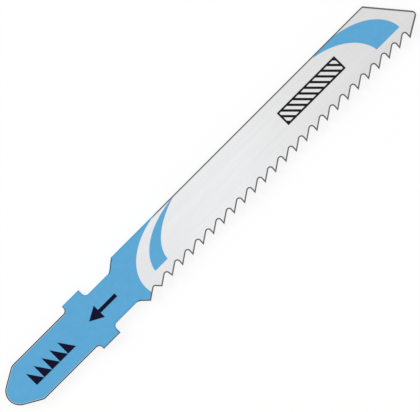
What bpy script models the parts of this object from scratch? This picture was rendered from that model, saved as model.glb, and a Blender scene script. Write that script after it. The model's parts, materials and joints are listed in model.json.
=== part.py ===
"""Jigsaw blade with a T shank, for metal.

The real blade is one piece of high-speed steel strip. Its outline is stamped, its teeth are milled into one edge, and
the toothed edge is then pressed into a wave, so that the cut is wider than the strip.

Metres, +Z up. The blade lies flat. +X runs from the shank to the nose and +Y to the smooth back edge. The teeth point
towards -Y and lean to the shank. The origin is in the middle of the lugs, on the lower flat face.
"""

import math

import bmesh
import bpy
from mathutils import Matrix, Vector

# Strip
overall_length = 0.0769
strip_width = 0.0082
thickness = 0.0010

# Rounding of the rims: the stamped outline's, and the smaller one that tumbling leaves on the milled teeth
stamped_rim_radius = 0.0001
milled_rim_radius = 0.00005
rim_segments = 2

# Tang, from its round end
tang_width = 0.00645
tang_end_radius = 0.0020
tang_taper = math.radians(30)
tang_blend = 0.0010

# Lugs, which the clamp pulls on, and the neck behind them
lug_start = 0.0142
lug_length = 0.0032
lug_shoulder_fillet = 0.0006
lug_neck_fillet = 0.0006
neck_width = 0.00555
neck_length = 0.0060

# Ramps from the neck to the full width: one ends at the heel's tip, the other at the back edge
heel_ramp_angle = math.radians(45)
heel_ramp_fillet = 0.0013
back_ramp_angle = math.radians(38.5)
back_ramp_fillet = 0.0009
back_ramp_setback = 0.0003

# Nose: a slanted end, and an underside that runs on from the last tooth
nose_end_angle = math.radians(50)
nose_under_angle = math.radians(31)
nose_radius = 0.0006
nose_least_reach = 0.0020

# Teeth. The mill runs in over the first gullets, which come out shallower, with faces that lean back
tooth_pitch = 0.0020
tooth_depth = 0.00113
tip_inset = 0.0004
gullet_radius = 0.0003
rake = math.radians(3)
run_in_rakes = (math.radians(-42), math.radians(-10))
heel_inset = 0.0001
heel_gap = 0.0025

# Wavy set, and where it is cut across so that it bends smoothly
set_offset = 0.00022
set_height = 0.0024
set_waves = 3
set_fade = 0.0030
set_rows = 3
set_cuts = (0.35, 0.85)

# Largest distance between an arc and its chords, and the distance below which two points are one
chord_error = 0.0000025
weld_distance = 0.000001

half_width = strip_width / 2
lug_end = lug_start + lug_length
heel = lug_end + neck_length
first_tip = heel + heel_gap
tooth_count = int((overall_length - nose_least_reach - first_tip) / tooth_pitch) + 1
last_tip = first_tip + (tooth_count - 1) * tooth_pitch
tip_level = tip_inset - half_width
clamp_centre = lug_start + lug_length / 2


def heading(angle):
    """Unit vector at an angle from +X."""
    return Vector((math.cos(angle), math.sin(angle)))


def meet(point_a, direction_a, point_b, direction_b):
    """Point where two lines cross, each given by a point and a direction."""
    along = (point_b - point_a).cross(direction_b) / direction_a.cross(direction_b)
    return point_a + along * direction_a


def tang_apex():
    """Point on the centreline where the tang's two tapers would meet, without its round end."""
    return Vector((tang_end_radius - tang_end_radius / math.sin(tang_taper), 0))


def shank_side(side):
    """Corners of one side of the shank, from the end of the tang's taper to the neck, each with its radius."""
    tang_edge = side * tang_width / 2
    lug_edge = side * half_width
    neck_edge = side * neck_width / 2
    taper_end = meet(tang_apex(), heading(side * tang_taper), Vector((0, tang_edge)), heading(0))
    return [
        (taper_end, tang_blend),
        (Vector((lug_start, tang_edge)), lug_shoulder_fillet),
        (Vector((lug_start, lug_edge)), 0),
        (Vector((lug_end, lug_edge)), 0),
        (Vector((lug_end, neck_edge)), lug_neck_fillet),
    ]


def ramp_foot(top, angle):
    """Corner where the neck turns into the ramp that rises to top."""
    side = math.copysign(1, top.y)
    return meet(top, heading(side * angle), Vector((0, side * neck_width / 2)), heading(0))


def tooth_back_angle():
    """Slope of a tooth's long back: a line from one tip that touches the gullet in front of the next tip."""
    centre_rise = tooth_depth - gullet_radius
    centre_to_tip = (gullet_radius - centre_rise * math.sin(rake)) / math.cos(rake)
    run = tooth_pitch - centre_to_tip
    return math.atan2(centre_rise, run) + math.asin(gullet_radius / math.hypot(run, centre_rise))


def toothed_edge():
    """Corners from the heel's tip to the last tip: a sharp tip, a round gullet, the next tip, and so on."""
    tips = [Vector((heel, heel_inset - half_width))]
    tips += [Vector((first_tip + index * tooth_pitch, tip_level)) for index in range(tooth_count)]
    rakes = list(run_in_rakes) + [rake] * tooth_count
    back = heading(tooth_back_angle())
    corners = [(tips[0], 0)]
    for tip, next_tip, face_rake in zip(tips, tips[1:], rakes):
        face = heading(math.pi / 2 - face_rake)
        corners.append((meet(tip, back, next_tip, face), gullet_radius))
        corners.append((next_tip, 0))
    return corners


def nose_arc_centre():
    """Centre of the arc that touches the nose's underside and reaches to the blade's full length."""
    x = overall_length - nose_radius
    rise = (x - last_tip) * math.tan(nose_under_angle) + nose_radius / math.cos(nose_under_angle)
    return Vector((x, tip_level + rise))


def nose_and_back():
    """Corners of the nose, of the back edge's far end, and of the ramp that ends the back edge at the shank."""
    slant = heading(math.pi - nose_end_angle)
    on_slant = nose_arc_centre() + nose_radius * heading(math.pi / 2 - nose_end_angle)
    point = meet(Vector((last_tip, tip_level)), heading(nose_under_angle), on_slant, slant)
    back_end = meet(point, slant, Vector((0, half_width)), heading(0))
    ramp_top = Vector((heel + back_ramp_setback, half_width))
    return [
        (point, nose_radius),
        (back_end, 0),
        (ramp_top, 0),
        (ramp_foot(ramp_top, back_ramp_angle), back_ramp_fillet),
    ]


def blade_corners():
    """All corners of the outline, anticlockwise from the tang's end, each with its radius."""
    teeth = toothed_edge()
    heel_tip = teeth[0][0]
    corners = [(tang_apex(), tang_end_radius)]
    corners += shank_side(-1)
    corners.append((ramp_foot(heel_tip, heel_ramp_angle), heel_ramp_fillet))
    corners += teeth
    corners += nose_and_back()
    corners += reversed(shank_side(1))
    return corners


def corner_arc(corner, behind, ahead, radius):
    """Points of the arc that touches both sides of a corner. The sides are unit vectors from the corner."""
    half = behind.angle(ahead) / 2
    centre = corner + (behind + ahead).normalized() * radius / math.sin(half)
    arm = corner + behind * radius / math.tan(half) - centre
    turn = math.copysign(math.pi - 2 * half, ahead.cross(behind))
    steps = max(2, math.ceil(abs(turn) / (2 * math.acos(1 - chord_error / radius))))
    return [centre + Matrix.Rotation(turn * step / steps, 2) @ arm for step in range(steps + 1)]


def rounded(corners):
    """Points of the closed outline. Arcs that would run into each other on a short side share it and get smaller."""
    count = len(corners)
    sides = [corners[(i + 1) % count][0] - corners[i][0] for i in range(count)]
    tangents = [math.tan((-sides[i - 1]).angle(sides[i]) / 2) for i in range(count)]
    reaches = [corners[i][1] / tangents[i] for i in range(count)]
    points = []
    for i, (corner, radius) in enumerate(corners):
        if radius == 0:
            points.append(corner)
            continue
        room_behind = sides[i - 1].length / (reaches[i - 1] + reaches[i])
        room_ahead = sides[i].length / (reaches[i] + reaches[(i + 1) % count])
        fitting = radius * min(1, room_behind, room_ahead)
        points += corner_arc(corner, -sides[i - 1].normalized(), sides[i].normalized(), fitting)
    return points


def evaluated_mesh(item):
    """A new mesh of an object as its modifiers or its curve make it."""
    bpy.context.view_layer.update()
    return bpy.data.meshes.new_from_object(item.evaluated_get(bpy.context.evaluated_depsgraph_get()))


def stamp_blank(name, collection):
    """The blank: the outline filled and given the strip's thickness, as a mesh object."""
    data = bpy.data.curves.new(name + "_outline", "CURVE")
    data.dimensions = "2D"
    data.fill_mode = "BOTH"
    data.extrude = thickness / 2
    outline = rounded(blade_corners())
    spline = data.splines.new("POLY")
    spline.points.add(len(outline) - 1)
    for point, spot in zip(spline.points, outline):
        point.co = (spot.x - clamp_centre, spot.y, 0, 1)
    spline.use_cyclic_u = True
    guide = bpy.data.objects.new(name + "_outline", data)
    guide.location.z = thickness / 2
    collection.objects.link(guide)
    mesh = evaluated_mesh(guide)
    mesh.name = name
    mesh.transform(guide.matrix_world)
    blank = bpy.data.objects.new(name, mesh)
    collection.objects.link(blank)
    bpy.data.objects.remove(guide)
    bpy.data.curves.remove(data)
    return blank


def join_flat_sides(bm):
    """Weld the walls to the two flat sides, and clear the edges that only split a flat face."""
    bmesh.ops.remove_doubles(bm, verts=bm.verts, dist=weld_distance)
    bmesh.ops.recalc_face_normals(bm, faces=bm.faces)
    bmesh.ops.dissolve_limit(bm, angle_limit=math.radians(1), verts=bm.verts, edges=bm.edges)


def weigh_rims(bm):
    """Give each rim of the outline its share of the widest rounding. The upright corners keep none."""
    milled_start = heel - clamp_centre
    milled_top = nose_arc_centre().y - nose_radius * math.cos(nose_under_angle)
    weight = bm.edges.layers.float.new("bevel_weight_edge")
    for edge in bm.edges:
        flat_sides = sum(abs(face.normal.z) > 0.5 for face in edge.link_faces)
        if flat_sides == 1:
            middle = (edge.verts[0].co + edge.verts[1].co) / 2
            milled = middle.x > milled_start and middle.y < milled_top
            edge[weight] = milled_rim_radius / stamped_rim_radius if milled else 1


def round_rims(blank):
    """Round the rims by their weights, and leave the result in the blank's mesh."""
    rounding = blank.modifiers.new("rims", "BEVEL")
    rounding.limit_method = "WEIGHT"
    rounding.width = stamped_rim_radius
    rounding.segments = rim_segments
    rounding.use_clamp_overlap = False
    mesh = evaluated_mesh(blank)
    blank.modifiers.clear()
    unrounded = blank.data
    blank.data = mesh
    bpy.data.meshes.remove(unrounded)
    mesh.name = blank.name


def cut_across(bm, faces, spot, normal):
    """Cut some faces along a plane, with no gap."""
    geometry = set(faces)
    for face in faces:
        geometry.update(face.edges, face.verts)
    bmesh.ops.bisect_plane(bm, geom=list(geometry), dist=weld_distance, plane_co=spot, plane_no=normal)


def coat_shank(bm):
    """Give the shank's faces the second material, up to a cut at the heel."""
    line = heel - clamp_centre
    cut_across(bm, bm.faces[:], (line, 0, 0), (1, 0, 0))
    for face in bm.faces:
        face.material_index = int(face.calc_center_median().x < line)


def press_wavy_set(bm):
    """Press the toothed edge into a wave that starts level in the flat of the blade and fades at both ends."""
    start, end = heel - clamp_centre, last_tip - clamp_centre
    top = tip_level + set_height

    def lower_faces(level):
        return [
            face
            for face in bm.faces
            if face.calc_center_median().x > start and min(vert.co.y for vert in face.verts) < level - weld_distance
        ]

    for row in range(set_rows):
        level = top - (set_height - tooth_depth) * row / set_rows
        cut_across(bm, lower_faces(level), (0, level, 0), (0, 1, 0))
    for tooth in range(-1, tooth_count):
        for share in set_cuts:
            place = first_tip + (tooth + share) * tooth_pitch - clamp_centre
            if start < place < end:
                cut_across(bm, lower_faces(top), (place, 0, 0), (1, 0, 0))
    bmesh.ops.triangulate(bm, faces=lower_faces(top), quad_method="BEAUTY", ngon_method="BEAUTY")
    for vert in bm.verts:
        depth = (top - vert.co.y) / set_height
        fade = min((vert.co.x - start) / set_fade, (end - vert.co.x) / set_fade, 1)
        if depth > 0 and fade > 0:
            phase = 2 * math.pi * set_waves * (vert.co.x - start) / (end - start)
            vert.co.z += set_offset * depth**1.5 * fade * math.sin(phase)


def finish(name, colour, metallic, roughness):
    """A plain material of one colour."""
    material = bpy.data.materials.new(name)
    material.use_nodes = True
    shader = material.node_tree.nodes["Principled BSDF"]
    shader.inputs["Base Color"].default_value = (*colour, 1)
    shader.inputs["Metallic"].default_value = metallic
    shader.inputs["Roughness"].default_value = roughness
    return material


for old in list(bpy.data.objects):
    bpy.data.objects.remove(old)

blade_collection = bpy.data.collections.new("jigsaw_blade")
bpy.context.scene.collection.children.link(blade_collection)

blade = stamp_blank("blade", blade_collection)
work = bmesh.new()
work.from_mesh(blade.data)
join_flat_sides(work)
weigh_rims(work)
work.to_mesh(blade.data)
work.free()
round_rims(blade)
work = bmesh.new()
work.from_mesh(blade.data)
coat_shank(work)
press_wavy_set(work)
work.to_mesh(blade.data)
work.free()
blade.data.shade_smooth()
blade.data.set_sharp_from_angle(angle=math.radians(30))
blade.data.materials.append(finish("satin_steel", colour=(0.80, 0.81, 0.83), metallic=1.0, roughness=0.35))
blade.data.materials.append(finish("blue_lacquer", colour=(0.114, 0.397, 0.665), metallic=0.0, roughness=0.4))
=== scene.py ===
"""Looks of the jigsaw blade: satin ground steel with a lacquered shank and printed fields, on a white table.

Metres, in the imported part's frame. The blade lies flat with its printed face up. +X runs from the shank to
the nose, and +Y to the smooth back edge.
"""

import json
import math

import bpy
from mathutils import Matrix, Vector

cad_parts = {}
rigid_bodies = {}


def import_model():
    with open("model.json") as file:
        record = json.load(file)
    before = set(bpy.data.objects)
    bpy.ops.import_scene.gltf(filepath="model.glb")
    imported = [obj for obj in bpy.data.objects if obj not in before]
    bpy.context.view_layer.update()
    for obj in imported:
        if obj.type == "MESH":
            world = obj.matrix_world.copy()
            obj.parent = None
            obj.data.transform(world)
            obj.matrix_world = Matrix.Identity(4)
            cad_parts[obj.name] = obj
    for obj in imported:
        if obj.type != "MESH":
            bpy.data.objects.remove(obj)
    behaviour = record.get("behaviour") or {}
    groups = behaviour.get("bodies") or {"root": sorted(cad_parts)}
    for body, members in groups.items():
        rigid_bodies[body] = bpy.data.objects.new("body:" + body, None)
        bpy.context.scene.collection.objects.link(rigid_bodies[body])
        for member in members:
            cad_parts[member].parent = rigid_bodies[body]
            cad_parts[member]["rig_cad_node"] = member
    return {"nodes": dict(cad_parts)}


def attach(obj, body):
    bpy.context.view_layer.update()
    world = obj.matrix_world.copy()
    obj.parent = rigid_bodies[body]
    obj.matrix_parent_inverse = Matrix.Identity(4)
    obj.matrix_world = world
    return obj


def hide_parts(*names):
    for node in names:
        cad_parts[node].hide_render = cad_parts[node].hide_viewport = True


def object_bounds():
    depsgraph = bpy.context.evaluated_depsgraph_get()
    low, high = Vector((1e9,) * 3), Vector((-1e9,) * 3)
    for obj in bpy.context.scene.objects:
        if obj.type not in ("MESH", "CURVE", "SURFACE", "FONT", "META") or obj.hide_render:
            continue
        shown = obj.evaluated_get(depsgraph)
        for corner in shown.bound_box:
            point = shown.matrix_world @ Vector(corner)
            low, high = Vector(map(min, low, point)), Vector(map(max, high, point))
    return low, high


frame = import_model()
cad_low, cad_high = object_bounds()

# The camera hangs straight over the blade and is turned, so that the shank points to the lower left of the
# picture. Its long lens shows the flat face without perspective, as a catalogue picture does.
printed_face = 0.0010
picture_width = 0.05747
picture_centre = (0.02249, -0.00052)
lens = 1000
sensor = 36
camera_height = printed_face + picture_width * lens / sensor
bpy.ops.object.camera_add(location=(*picture_centre, camera_height), rotation=(0, 0, math.radians(-45)))
camera = bpy.context.object
camera.name = "table_camera"
camera.data.lens = lens
camera.data.sensor_width = sensor
camera.data.clip_start = 0.01
camera.data.clip_end = 10
bpy.context.scene.camera = camera

# The blade is one piece of high-speed steel strip, stamped, milled along one edge, wavy set and hardened.
# It is the imported solid with a narrow band let in along its outline, where the painted edge shade,
# a dark outline, begins.
band_width = 0.00012
band_weld = 0.00004
merge_distance = 0.000001
flat_turn = math.radians(0.5)
smooth_turn = math.radians(20)
heel, last_tip = 0.0076, 0.0581
tip_level = -0.0037
set_height = 0.0024
set_top = tip_level + set_height
set_offset = 0.00022
set_power = 1.5
set_waves = 3
set_fade = 0.0030
set_columns = 50
set_rows = 5


def set_rise(spot):
    """How far the wavy set lifts a point of the blade."""
    depth = (set_top - spot.y) / set_height
    fade = min((spot.x - heel) / set_fade, (last_tip - spot.x) / set_fade, 1)
    if depth <= 0 or fade <= 0:
        return 0
    wave = math.sin(2 * math.pi * set_waves * (spot.x - heel) / (last_tip - heel))
    return set_offset * depth**set_power * fade * wave


def on_side(mesh, face, level):
    """Whether a face lies in the flat side at this level."""
    return all(abs(mesh.vertices[i].co.z - level) < merge_distance for i in face.vertices)


def in_set(mesh, face):
    """Whether a face reaches into the part of the strip that is set."""
    return min(mesh.vertices[i].co.y for i in face.vertices) < set_top


def select_faces(mesh, chosen, *values):
    """Select the faces that chosen() names, and nothing else, and go back to edit mode."""
    bpy.ops.mesh.select_mode(type="FACE")
    bpy.ops.mesh.select_all(action="DESELECT")
    bpy.ops.object.mode_set(mode="OBJECT")
    for face in mesh.polygons:
        face.select = chosen(mesh, face, *values)
    bpy.ops.object.mode_set(mode="EDIT")


bpy.ops.object.select_all(action="DESELECT")
bpy.context.view_layer.objects.active = frame["nodes"]["blade"]
frame["nodes"]["blade"].select_set(True)
bpy.ops.object.duplicate()
blade = bpy.context.object
blade.name = "ground_blade"
del blade["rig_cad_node"]
bpy.ops.object.parent_clear(type="CLEAR_KEEP_TRANSFORM")
bpy.ops.object.mode_set(mode="EDIT")
bpy.ops.mesh.select_all(action="SELECT")
bpy.ops.mesh.remove_doubles(threshold=merge_distance)
bpy.ops.object.mode_set(mode="OBJECT")

# The blade is made flat for this work, and the wave comes back at its end. The attribute edge_line is 1 on
# the rims and the cut walls, and falls to 0 across the band.
for vert in blade.data.vertices:
    vert.co.z -= set_rise(vert.co)
edge_line = blade.data.attributes.new("edge_line", "FLOAT", "POINT")
edge_line.data.foreach_set("value", [1] * len(blade.data.vertices))
bpy.ops.object.mode_set(mode="EDIT")
bpy.ops.mesh.select_all(action="SELECT")
bpy.ops.mesh.dissolve_limited(angle_limit=flat_turn)
for side_level in (printed_face, 0):
    select_faces(blade.data, on_side, side_level)
    bpy.ops.mesh.inset(thickness=band_width, use_even_offset=False)
    bpy.ops.mesh.remove_doubles(threshold=band_weld)
    bpy.ops.object.mode_set(mode="OBJECT")
    for face in blade.data.polygons:
        if face.select:
            for index in face.vertices:
                blade.data.attributes["edge_line"].data[index].value = 0
    bpy.ops.object.mode_set(mode="EDIT")
for column in range(1, set_columns):
    select_faces(blade.data, in_set)
    bpy.ops.mesh.bisect(plane_co=(heel + (last_tip - heel) * column / set_columns, 0, 0), plane_no=(1, 0, 0))
for row in range(set_rows):
    select_faces(blade.data, in_set)
    bpy.ops.mesh.bisect(plane_co=(0, tip_level + set_height * (1 - row / set_rows), 0), plane_no=(0, 1, 0))
bpy.ops.mesh.select_all(action="SELECT")
bpy.ops.mesh.quads_convert_to_tris(quad_method="BEAUTY", ngon_method="BEAUTY")
bpy.ops.object.mode_set(mode="OBJECT")
for vert in blade.data.vertices:
    vert.co.z += set_rise(vert.co)
bpy.ops.object.shade_smooth_by_angle(angle=smooth_turn)


class Wire:
    """An output of a material's nodes. Python's operators on it add Math nodes to the same material."""

    def __init__(self, tree, socket=None):
        self.tree = tree
        self.socket = socket

    def node(self, kind, settings=None, output=0, **sockets):
        """Add a node: its type, its settings, and its sockets' values or wires, by name or as s0, s1."""
        made = self.tree.nodes.new("ShaderNode" + kind)
        for name, value in (settings or {}).items():
            setattr(made, name, value)
        for name, value in sockets.items():
            key = int(name[1:]) if name[1:].isdigit() else name
            if isinstance(value, Wire):
                self.tree.links.new(value.socket, made.inputs[key])
            else:
                made.inputs[key].default_value = value
        return Wire(self.tree, made.outputs[output] if made.outputs else None)

    def maths(self, operation, *values):
        sockets = {f"s{i}": value for i, value in enumerate(values)}
        return self.node("Math", {"operation": operation}, **sockets)

    def __add__(self, other):
        return self.maths("ADD", self, other)

    __radd__ = __add__

    def __sub__(self, other):
        return self.maths("SUBTRACT", self, other)

    def __rsub__(self, other):
        return self.maths("SUBTRACT", other, self)

    def __mul__(self, other):
        return self.maths("MULTIPLY", self, other)

    __rmul__ = __mul__

    def __truediv__(self, other):
        return self.maths("DIVIDE", self, other)

    def __abs__(self):
        return self.maths("ABSOLUTE", self)

    def least(self, other):
        return self.maths("MINIMUM", self, other)

    def most(self, other):
        return self.maths("MAXIMUM", self, other)

    def above(self, limit):
        return self.maths("GREATER_THAN", self, limit)

    def fraction(self):
        return self.maths("FRACT", self)

    def root(self):
        return self.maths("SQRT", self)

    def rise(self, low, high):
        """0 below low, 1 above high, and a smooth step between."""
        return self.node("MapRange", {"interpolation_type": "SMOOTHSTEP"}, s0=self, s1=low, s2=high)

    def swing(self, width):
        """A noise centred on 0, which swings over this width."""
        return (self - 0.5) * width

    def colour(self, low, high):
        """The colour low where the wire is 0, and high where it is 1."""
        colours = [one if isinstance(one, Wire) else (*one, 1) for one in (low, high)]
        return self.node("Mix", {"data_type": "RGBA"}, output=2, s0=self, s6=colours[0], s7=colours[1])

    def shade(self, colour):
        """A colour made darker or lighter by the wire."""
        return self.node("VectorMath", {"operation": "SCALE"}, s0=colour, Scale=self)


# Its finish is ground steel with lacquer on the shank and in two printed sweeps, dark ink, and painted shade
# as a dark outline on the cut edges. The lengths in it are in millimetres, and a printed border fades over
# twice the length soft.
mm = 1000
soft = 0.02
finish = bpy.data.materials.new("ground_steel_with_print")
finish.use_nodes = True
shader = finish.node_tree.nodes["Principled BSDF"]
start = Wire(finish.node_tree)
place = start.node("TexCoord", output=3)
place_mm = start.node("VectorMath", {"operation": "SCALE"}, s0=place, Scale=mm)
x, y, z = (start.node("SeparateXYZ", s0=place_mm, output=axis) for axis in range(3))
level = abs(start.node("SeparateXYZ", s0=start.node("TexCoord", output=1), output=2))
edge = start.node("Attribute", {"attribute_name": "edge_line"}, output=2)


def noise(scales, detail=2.0, offset=(0, 0, 0)):
    """Noise with its own number of grains per millimetre along each axis."""
    spot = start.node("Mapping", s0=place_mm, Location=offset, Scale=scales)
    return start.node("TexNoise", s0=spot, Scale=1.0, Detail=detail)


def length(across, up):
    """Length of a step that goes this far across and up."""
    return (across * across + up * up).root()


def oval(centre, half_size):
    """Roughly how many millimetres a point lies outside an oval."""
    return (length((x - centre[0]) / half_size[0], (y - centre[1]) / half_size[1]) - 1) * half_size[1]


def outside(distance):
    return distance.rise(-soft, soft)


def inside(distance):
    return (0 - distance).rise(-soft, soft)


# Sky-blue lacquer covers both faces of the shank up to an oval border, and the printed face has two
# curved sweeps of it.
upper = z.rise(0.4, 0.6)
coat_middle = 18.3
sweep_foot = -1.52
coat = outside(oval((coat_middle, -2.15), (9.9, 6.3))) * inside(x - coat_middle)
above_foot = outside(y - sweep_foot)
heel_sweep = inside(oval((21.15, -1.95), (10.25, 5.95))) * outside(oval((27.3, -1.75), (14.0, 6.74)))
nose_sweep = inside(oval((49.1, -1.7), (9.05, 5.75))) * outside(oval((44.7, -2.1), (9.1, 6.1)))
lacquer = coat.most(upper * heel_sweep.most(nose_sweep) * above_foot)
peel = noise((1.3, 1.3, 1.3), detail=3.0)
sky_blue = (0.103, 0.369, 0.628)
blue = (1 + peel.swing(0.12)).shade(sky_blue)

# Ink signs on the printed face. Saw teeth stand on the tang.
sign_teeth, sign_pitch, sign_height = 5, 1.52, 2.2
half_row = sign_teeth * sign_pitch / 2
teeth_x, teeth_y = x + 11.6, y + 1.1
teeth_sign = inside(teeth_y - sign_height * (1 - (teeth_x / sign_pitch).fraction())) * outside(teeth_y)
teeth_sign = teeth_sign * inside(abs(teeth_x - half_row) - half_row + soft)

# An arrow on the neck points the way that the blade cuts.
head_length, head_slope = 2.0, 0.55
shaft_middle, shaft_half_length, shaft_half_width = 3.4, 1.8, 0.28
arrow_x = x + 0.4
arrow_head = inside((abs(y) - arrow_x * head_slope).most(arrow_x - head_length))
arrow_shaft = inside((abs(y) - shaft_half_width).most(abs(arrow_x - shaft_middle) - shaft_half_length))
arrow_sign = arrow_head.most(arrow_shaft)

# A framed and hatched strip near the nose stands for sheet metal.
strip_half_length, strip_half_height, strip_frame = 5.55, 1.15, 0.28
hatch_pitch, hatch_half_line = 1.1, 0.24
strip_x, strip_y = x - 43.45, y - 0.85
in_strip = (abs(strip_x) - strip_half_length).most(abs(strip_y) - strip_half_height)
hatch = abs(((strip_x + strip_y) / hatch_pitch).fraction() - 0.5) * hatch_pitch - hatch_half_line
strip_sign = inside(in_strip) * inside(hatch).most(outside(in_strip + strip_frame))
ink = upper * teeth_sign.most(arrow_sign).most(strip_sign)
navy_ink, black_ink = (0.0, 0.0, 0.016), (0.004, 0.004, 0.006)
ink_colour = x.rise(12, 36).colour(navy_ink, black_ink)

# The ground steel has fine lines along the strip. It is a little duller by the shank, and painted shade greys
# it towards the nose.
shank_steel, middle_steel, nose_steel_painted_shade = (0.775, 0.787, 0.808), (0.832, 0.836, 0.846), (0.724, 0.721, 0.719)
fine_lines = noise((0.25, 14, 14))
broad_lines = noise((0.03, 2.2, 2.2), offset=(3, 7, 0))
clouds = noise((0.12, 0.3, 0.3), offset=(9, 1, 0))
grain = fine_lines.swing(0.12) + broad_lines.swing(0.08) + clouds.swing(0.05)
steel = x.rise(24, 58).colour(middle_steel, nose_steel_painted_shade)
steel = (1 + grain).shade(x.rise(8, 22).colour(shank_steel, steel))

# A line of painted shade along the milled edge keeps its width along the gullets and round the nose. A gullet
# is an arc between the back of one tooth and the leaning face of the next. The two after the heel tooth
# differ, and the others repeat.
tooth_pitch, gullet_radius, regular_gullets = 2.0, 0.3, 23
gullet_band, nose_band = 0.19, 0.23
tooth_shade_from = 7.5
back_slope = math.radians(34.4)
leans = [math.radians(lean) for lean in (-42, -10, 3)]
tips = [Vector((heel * mm, -4.0)), *(Vector((tip, tip_level * mm)) for tip in (10.1, 12.1, 14.1))]
far = 10


def gullet_centre(tip, next_tip, lean):
    """Centre of the arc that touches the back of one tooth and the leaning face of the next."""
    back = Vector((-math.sin(back_slope), math.cos(back_slope)))
    face = Vector((math.cos(lean), -math.sin(lean)))
    along_back = back.dot(tip) - gullet_radius
    along_face = face.dot(next_tip) - gullet_radius
    turn = back.cross(face)
    centre_x = (along_back * face.y - along_face * back.y) / turn
    centre_y = (along_face * back.x - along_back * face.x) / turn
    return centre_x, centre_y


def from_gullet(across, up, lean):
    """How far the metal is from a gullet, by its place about the centre of the gullet's arc."""
    back_run, back_rise = math.cos(back_slope), math.sin(back_slope)
    face_run, face_rise = math.sin(lean), math.cos(lean)
    straight = (up * back_run - across * back_rise).most(across * face_rise - up * face_run)
    beside_arc = (across * back_run + up * back_rise).least(across * face_run + up * face_rise).above(0)
    return straight + (length(across, up) - straight) * beside_arc - gullet_radius


centres = [gullet_centre(*pair, lean) for *pair, lean in zip(tips, tips[1:], leans)]
run_in = [from_gullet(x - centre[0], y - centre[1], lean) for centre, lean in zip(centres[:2], leans)]
first_gullet, gullet_level = centres[2]
last_gullet = first_gullet + (regular_gullets - 1) * tooth_pitch
across = ((x - first_gullet) / tooth_pitch).fraction() * tooth_pitch
up = y - gullet_level
behind = from_gullet(across, up, leans[2]) + far * inside(x - first_gullet + soft)
ahead = from_gullet(across - tooth_pitch, up, leans[2]) + far * outside(x - last_gullet - soft)
past_row = inside(x - tips[2].x) + outside(x - last_gullet - tooth_pitch / 2)
to_gullets = (behind.least(ahead) + far * past_row).least(run_in[0]).least(run_in[1])

nose_radius, nose_x, nose_y = 0.6, 60.5, -1.558
under, slant = math.radians(31), math.radians(40)
past_under = (x - nose_x) * math.sin(under) - (y - nose_y) * math.cos(under)
past_slant = (x - nose_x) * math.cos(slant) + (y - nose_y) * math.sin(slant)
to_nose = nose_radius - length(past_under.most(0), past_slant.most(0))
# The dark line along the teeth and round the nose is painted shade.
tooth_edge_shade = inside((to_gullets - gullet_band).least(to_nose - nose_band)) * outside(x - tooth_shade_from)

# Painted shade darkens the rims of the cut edges and the band beside them into a dark outline, and the walls
# are greyer and streaked with scale. Along the toothed edge and at the nose a wider line of painted shade
# takes the band's place. Lacquer wraps the edges of the neck, with painted shade on its rims and ramps, and a
# thin painted glint runs just inside the tang's rim.
# The rim and tang rim colours here are painted edge shade, a dark outline; the wall colour is grey scale.
rim_painted_shade, tang_rim_painted_shade, wall_scale = (0.13, 0.13, 0.132), (0.035, 0.037, 0.04), (0.30, 0.30, 0.30)
# The neck's rim blue and ramp blue are painted edge shade; its walls keep the lacquer's own blue.
rim_blue_painted_shade, ramp_painted_shade = (0.085, 0.31, 0.53), (0.02, 0.05, 0.08)
glint_blue = (0.52, 0.61, 0.66)
wrap_from, tooth_top, nose_from = -1.5, -1.6, 57
streaks = noise((16, 16, 0.4), detail=3.0, offset=(0, 0, 5))
wall = 1 - level.rise(0.25, 0.5)
flat = level.rise(0.95, 0.97)
shank = inside(x - heel * mm)
tang = 1 - x.rise(-2.8, -1.6)
ramps = x.rise(6.0, 6.5) * (1 - x.rise(7.7, 8.1))
toothed = inside(y - tooth_top).most(outside(x - nose_from)) * (1 - shank)
wrapped = coat * outside(x - wrap_from) * y.rise(-3.6, -3.1) * (1 - toothed)
strip = x.rise(7.2, 8.4)
shank_band, strip_band = edge.rise(0.42, 0.6), edge.rise(0.05, 0.35)
# This mask places the painted edge shade along the outline.
edge_shaded = (1 - strip) * shank_band + strip * strip_band
edge_shaded = (edge_shaded * (1 - toothed * flat)).most(tooth_edge_shade)
# A thin painted glint, lighter blue, just inside the tang's rim.
tang_painted_glint = tang * edge.rise(0, 0.1) * (1 - shank_band)
edge_shade_and_scale_colour = (0.75 + 0.5 * streaks).shade(wall.colour(tang.colour(rim_painted_shade, tang_rim_painted_shade), wall_scale))
wrap_colour_and_shade = wall.colour(ramps.colour(rim_blue_painted_shade, ramp_painted_shade), sky_blue)

# The layers come together, from the steel up.
edge_band_metal = 0.6
ground_roughness, covered_rise, edge_band_rise = 0.34, 0.08, 0.12
line_depth, coat_depth, peel_depth = 0.0000008, 0.000012, 0.000002
base = tang_painted_glint.colour(lacquer.colour(steel, blue), glint_blue)
base = ink.colour(base, ink_colour)
base = edge_shaded.colour(base, wrapped.colour(edge_shade_and_scale_colour, wrap_colour_and_shade))
covered = lacquer.most(ink)
metal = (1 - covered) * (1 - edge_shaded) + edge_shaded * (1 - wrapped) * edge_band_metal
roughness = ground_roughness + fine_lines.swing(0.12) + covered * covered_rise + edge_shaded * edge_band_rise
height = (1 - covered) * fine_lines.swing(line_depth) + covered * (coat_depth + peel.swing(peel_depth))
bump = start.node("Bump", Height=height, Distance=1.0, Strength=1.0)
links = finish.node_tree.links
links.new(base.socket, shader.inputs["Base Color"])
links.new(metal.socket, shader.inputs["Metallic"])
links.new(roughness.socket, shader.inputs["Roughness"])
links.new(bump.socket, shader.inputs["Normal"])
shader.inputs["Specular IOR Level"].default_value = 0.12
blade.data.materials.clear()
blade.data.materials.append(finish)
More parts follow.
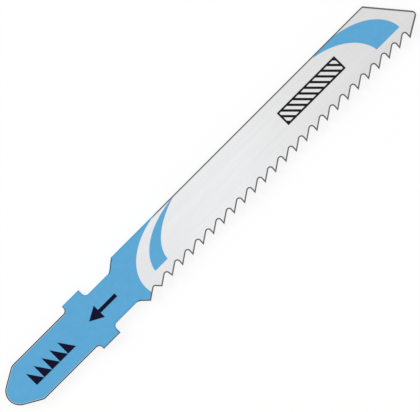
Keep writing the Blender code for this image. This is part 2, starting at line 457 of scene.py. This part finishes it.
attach(blade, "root")
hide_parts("blade")

# The table is a wide white board that the lowest teeth of the wavy set just touch. Seen directly or
# mirrored, most of its white is its own, as the room's is, and the rest takes the blade's shadow.
table_size = 3.0
blade_middle = 0.02265
board_glow = 0.85
bpy.ops.object.select_all(action="DESELECT")
bpy.ops.mesh.primitive_plane_add(size=table_size, location=(blade_middle, 0, cad_low.z))
table = bpy.context.object
table.name = "white_table"
table_finish = bpy.data.materials.new("white_board")
table_finish.use_nodes = True
table_finish.node_tree.nodes.clear()
top = Wire(table_finish.node_tree)


def seen_or_mirrored(wire):
    """1 for the rays that show a thing, and 0 for those that only light it."""
    seen, mirrored, through = (
        wire.node("LightPath", output=f"Is {kind} Ray") for kind in ("Camera", "Glossy", "Transmission")
    )
    return seen.most(mirrored).most(through)


board = top.node("BsdfDiffuse", Color=(0.95, 0.95, 0.95, 1))
glow = top.node("Emission", Color=(1, 1, 1, 1), Strength=1.0)
mixed = top.node("MixShader", s0=seen_or_mirrored(top) * board_glow, s1=board, s2=glow)
top.node("OutputMaterial", s0=mixed)
table.data.materials.append(table_finish)

# Even studio light: a white room, and one large soft lamp up to the left. The lamp isn't mirrored in the
# steel, which would otherwise clip to white from one side.
room_light = 0.75
world = bpy.data.worlds.new("white_room")
bpy.context.scene.world = world
world.use_nodes = True
world.node_tree.nodes.clear()
room = Wire(world.node_tree)
brightness = seen_or_mirrored(room) * (1 - room_light) + room_light
room.node("OutputWorld", s0=room.node("Background", Color=(1, 1, 1, 1), Strength=brightness))
lamp_place = Vector((-0.75, 1.05, 0.85))
lamp_way = Vector((blade_middle, 0, printed_face / 2)) - lamp_place
lamp_turn = lamp_way.to_track_quat("-Z", "Y").to_euler()
bpy.ops.object.light_add(type="AREA", location=lamp_place, rotation=lamp_turn)
lamp = bpy.context.object
lamp.name = "soft_lamp"
lamp.data.shape = "DISK"
lamp.data.size = 0.9
lamp.data.energy = 14
lamp.visible_glossy = False

bpy.context.scene.view_settings.view_transform = "Standard"
